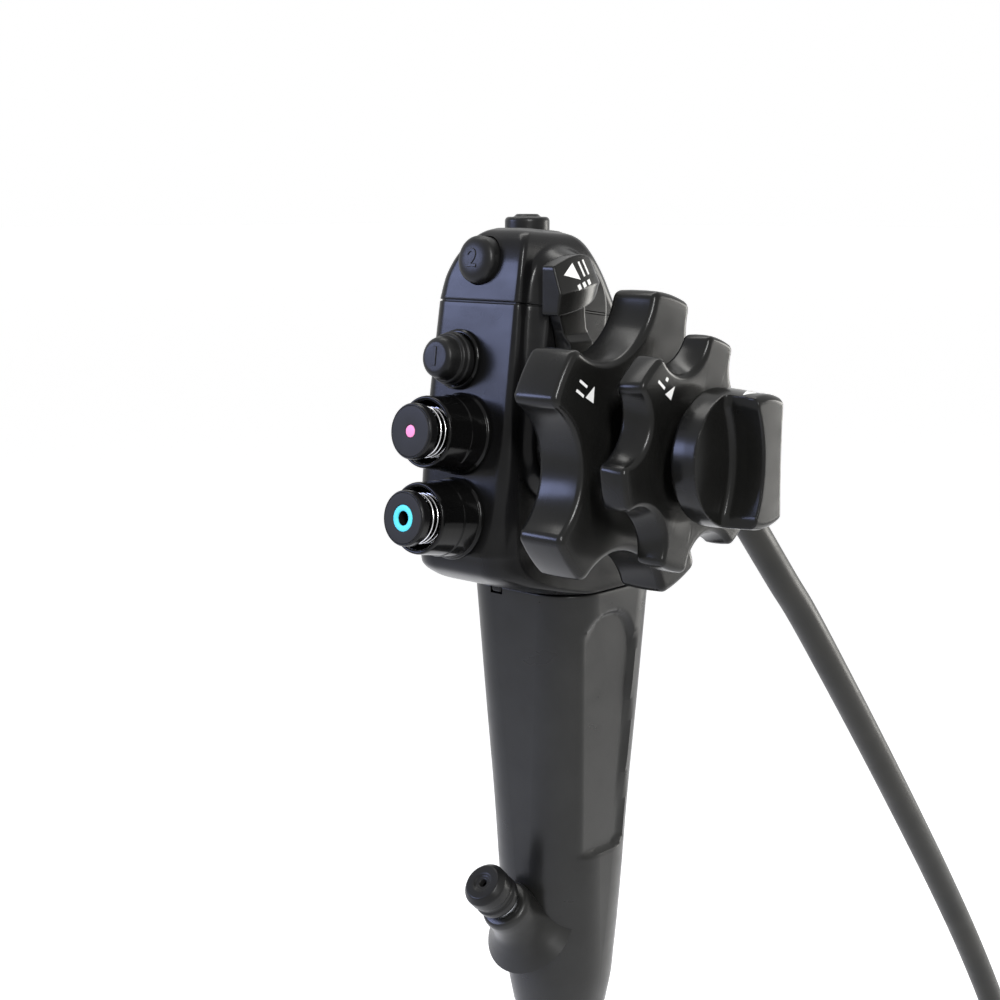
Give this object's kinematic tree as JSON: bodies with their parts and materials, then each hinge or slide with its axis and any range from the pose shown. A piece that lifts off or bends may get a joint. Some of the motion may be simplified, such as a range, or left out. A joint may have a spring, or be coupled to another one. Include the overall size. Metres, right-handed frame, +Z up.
{
  "type": "flexible endoscope",
  "caption": "Control section of a flexible endoscope: square grip, button valves, remote switches, nested lobed wheels with their locks, and a hanging cord with its plug.",
  "frame": {"origin": "on the grip's axis where the body meets the grip, which is where a hanger's fork holds it", "axes": "+Z up the grip towards the hood; the valve face looks to -X; the wheels stand out to -Y"},
  "size_m": [0.4557, 0.092, 0.5478],
  "materials": {
    "black_plastic": "satin",
    "grip_plastic": "fine satin",
    "gloss_black": "gloss",
    "soft_rubber": "soft matt",
    "steel": "fine turned",
    "brass": "turned",
    "friction_plastic": "plain",
    "circuit_green": "lacquered",
    "mark_blue": "smooth",
    "mark_pink": "smooth",
    "clear_hose": "milky",
    "dark_sheath": "smooth"
  },
  "bodies": {
    "control_section": {"control_housing": "black_plastic", "top_hood": "black_plastic", "grip_shell": "grip_plastic", "channel_port": "steel", "channel_port_valve": "soft_rubber", "insertion_tube_coupling": "steel", "chassis_plate": "steel", "circuit_board": "circuit_green", "suction_collar": "gloss_black", "suction_cylinder": "steel", "suction_spring": "steel", "air_water_collar": "gloss_black", "air_water_cylinder": "steel", "air_water_spring": "steel", "switch_1_ring": "gloss_black", "switch_1_body": "gloss_black", "switch_2_body": "gloss_black", "switch_3_body": "gloss_black", "knob_post": "steel", "knob_neck": "steel", "lever_retaining_ring": "steel", "up_down_brake_disc": "friction_plastic", "left_right_brake_disc": "friction_plastic", "post_nut": "steel", "wire_guide_block": "brass", "up_coil_pipe": "steel", "down_coil_pipe": "steel", "left_coil_pipe": "steel", "right_coil_pipe": "steel", "suction_hose": "clear_hose", "air_water_hose": "clear_hose", "light_guide_bundle": "dark_sheath", "cord_gland": "steel", "cord_boot": "soft_rubber", "universal_cord": "soft_rubber", "universal_cord_coil": "soft_rubber", "cord_tie": "soft_rubber", "connector_boot": "soft_rubber", "connector_body": "black_plastic", "connector_contacts": "steel", "light_guide_prong": "steel"},
    "suction_button": {"suction_piston": "steel", "suction_cap": "black_plastic", "suction_colour_dot": "mark_pink"},
    "air_water_button": {"air_water_piston": "steel", "air_water_cap": "black_plastic", "air_water_colour_ring": "mark_blue"},
    "remote_switch_1": {"switch_1_button": "soft_rubber"},
    "remote_switch_2": {"switch_2_button": "soft_rubber"},
    "remote_switch_3": {"switch_3_button": "soft_rubber"},
    "up_down_knob": {"up_down_wheel": "black_plastic", "up_down_shaft": "brass"},
    "left_right_knob": {"left_right_wheel": "black_plastic", "left_right_shaft": "brass"},
    "up_down_lock": {"up_down_lock_lever": "gloss_black"},
    "left_right_lock": {"left_right_brake_knob": "black_plastic"},
    "up_pull_wire": {"up_wire": "steel"},
    "down_pull_wire": {"down_wire": "steel"},
    "right_pull_wire": {"right_wire": "steel"},
    "left_pull_wire": {"left_wire": "steel"}
  },
  "joints": [
    {"name": "suction_press", "type": "slide", "parent": "control_section", "child": "suction_button", "axis": [0.9911, 0, -0.1335], "range_m": [0, 0.004], "stiffness_N_per_m": 600, "deforming": ["suction_spring"]},
    {"name": "air_water_press", "type": "slide", "parent": "control_section", "child": "air_water_button", "axis": [0.9911, 0, -0.1335], "range_m": [0, 0.004], "stiffness_N_per_m": 600, "deforming": ["air_water_spring"]},
    {"name": "switch_1_press", "type": "slide", "parent": "control_section", "child": "remote_switch_1", "axis": [0.9911, 0, -0.1335], "range_m": [0, 0.001], "stiffness_N_per_m": 1200},
    {"name": "switch_2_press", "type": "slide", "parent": "control_section", "child": "remote_switch_2", "axis": [0.9911, 0, -0.1335], "range_m": [0, 0.001], "stiffness_N_per_m": 1200},
    {"name": "switch_3_press", "type": "slide", "parent": "control_section", "child": "remote_switch_3", "axis": [0, 0, -1], "range_m": [0, 0.001], "stiffness_N_per_m": 1200},
    {"name": "up_down_turn", "type": "hinge", "parent": "control_section", "child": "up_down_knob", "pos_m": [-0.0191, 0, 0.0405], "axis": [0, -1, 0], "range_deg": [-60, 120]},
    {"name": "left_right_turn", "type": "hinge", "parent": "control_section", "child": "left_right_knob", "pos_m": [-0.0191, 0, 0.0405], "axis": [0, -1, 0], "range_deg": [-90, 90]},
    {"name": "up_down_lock_turn", "type": "hinge", "parent": "control_section", "child": "up_down_lock", "pos_m": [-0.0191, 0, 0.0405], "axis": [0, -1, 0], "range_deg": [0, 30]},
    {"name": "left_right_lock_turn", "type": "hinge", "parent": "control_section", "child": "left_right_lock", "pos_m": [-0.0191, 0, 0.0405], "axis": [0, -1, 0], "range_deg": [0, 90]},
    {"name": "up_wire_pull", "type": "slide", "parent": "control_section", "child": "up_pull_wire", "axis": [-0.2079, 0, 0.9781], "range_m": [-0.0079, 0.01575]},
    {"name": "down_wire_pull", "type": "slide", "parent": "control_section", "child": "down_pull_wire", "axis": [-0.342, 0, 0.9397], "range_m": [-0.01575, 0.0079]},
    {"name": "right_wire_pull", "type": "slide", "parent": "control_section", "child": "right_pull_wire", "axis": [-0.2079, 0, 0.9781], "range_m": [-0.01185, 0.01185]},
    {"name": "left_wire_pull", "type": "slide", "parent": "control_section", "child": "left_pull_wire", "axis": [-0.342, 0, 0.9397], "range_m": [-0.01185, 0.01185]}
  ],
  "couplings": [
    {"joint": "up_wire_pull", "follows": "up_down_turn", "m_per_rad": 0.0075},
    {"joint": "down_wire_pull", "follows": "up_down_turn", "m_per_rad": -0.0075},
    {"joint": "right_wire_pull", "follows": "left_right_turn", "m_per_rad": 0.0075},
    {"joint": "left_wire_pull", "follows": "left_right_turn", "m_per_rad": -0.0075}
  ]
}
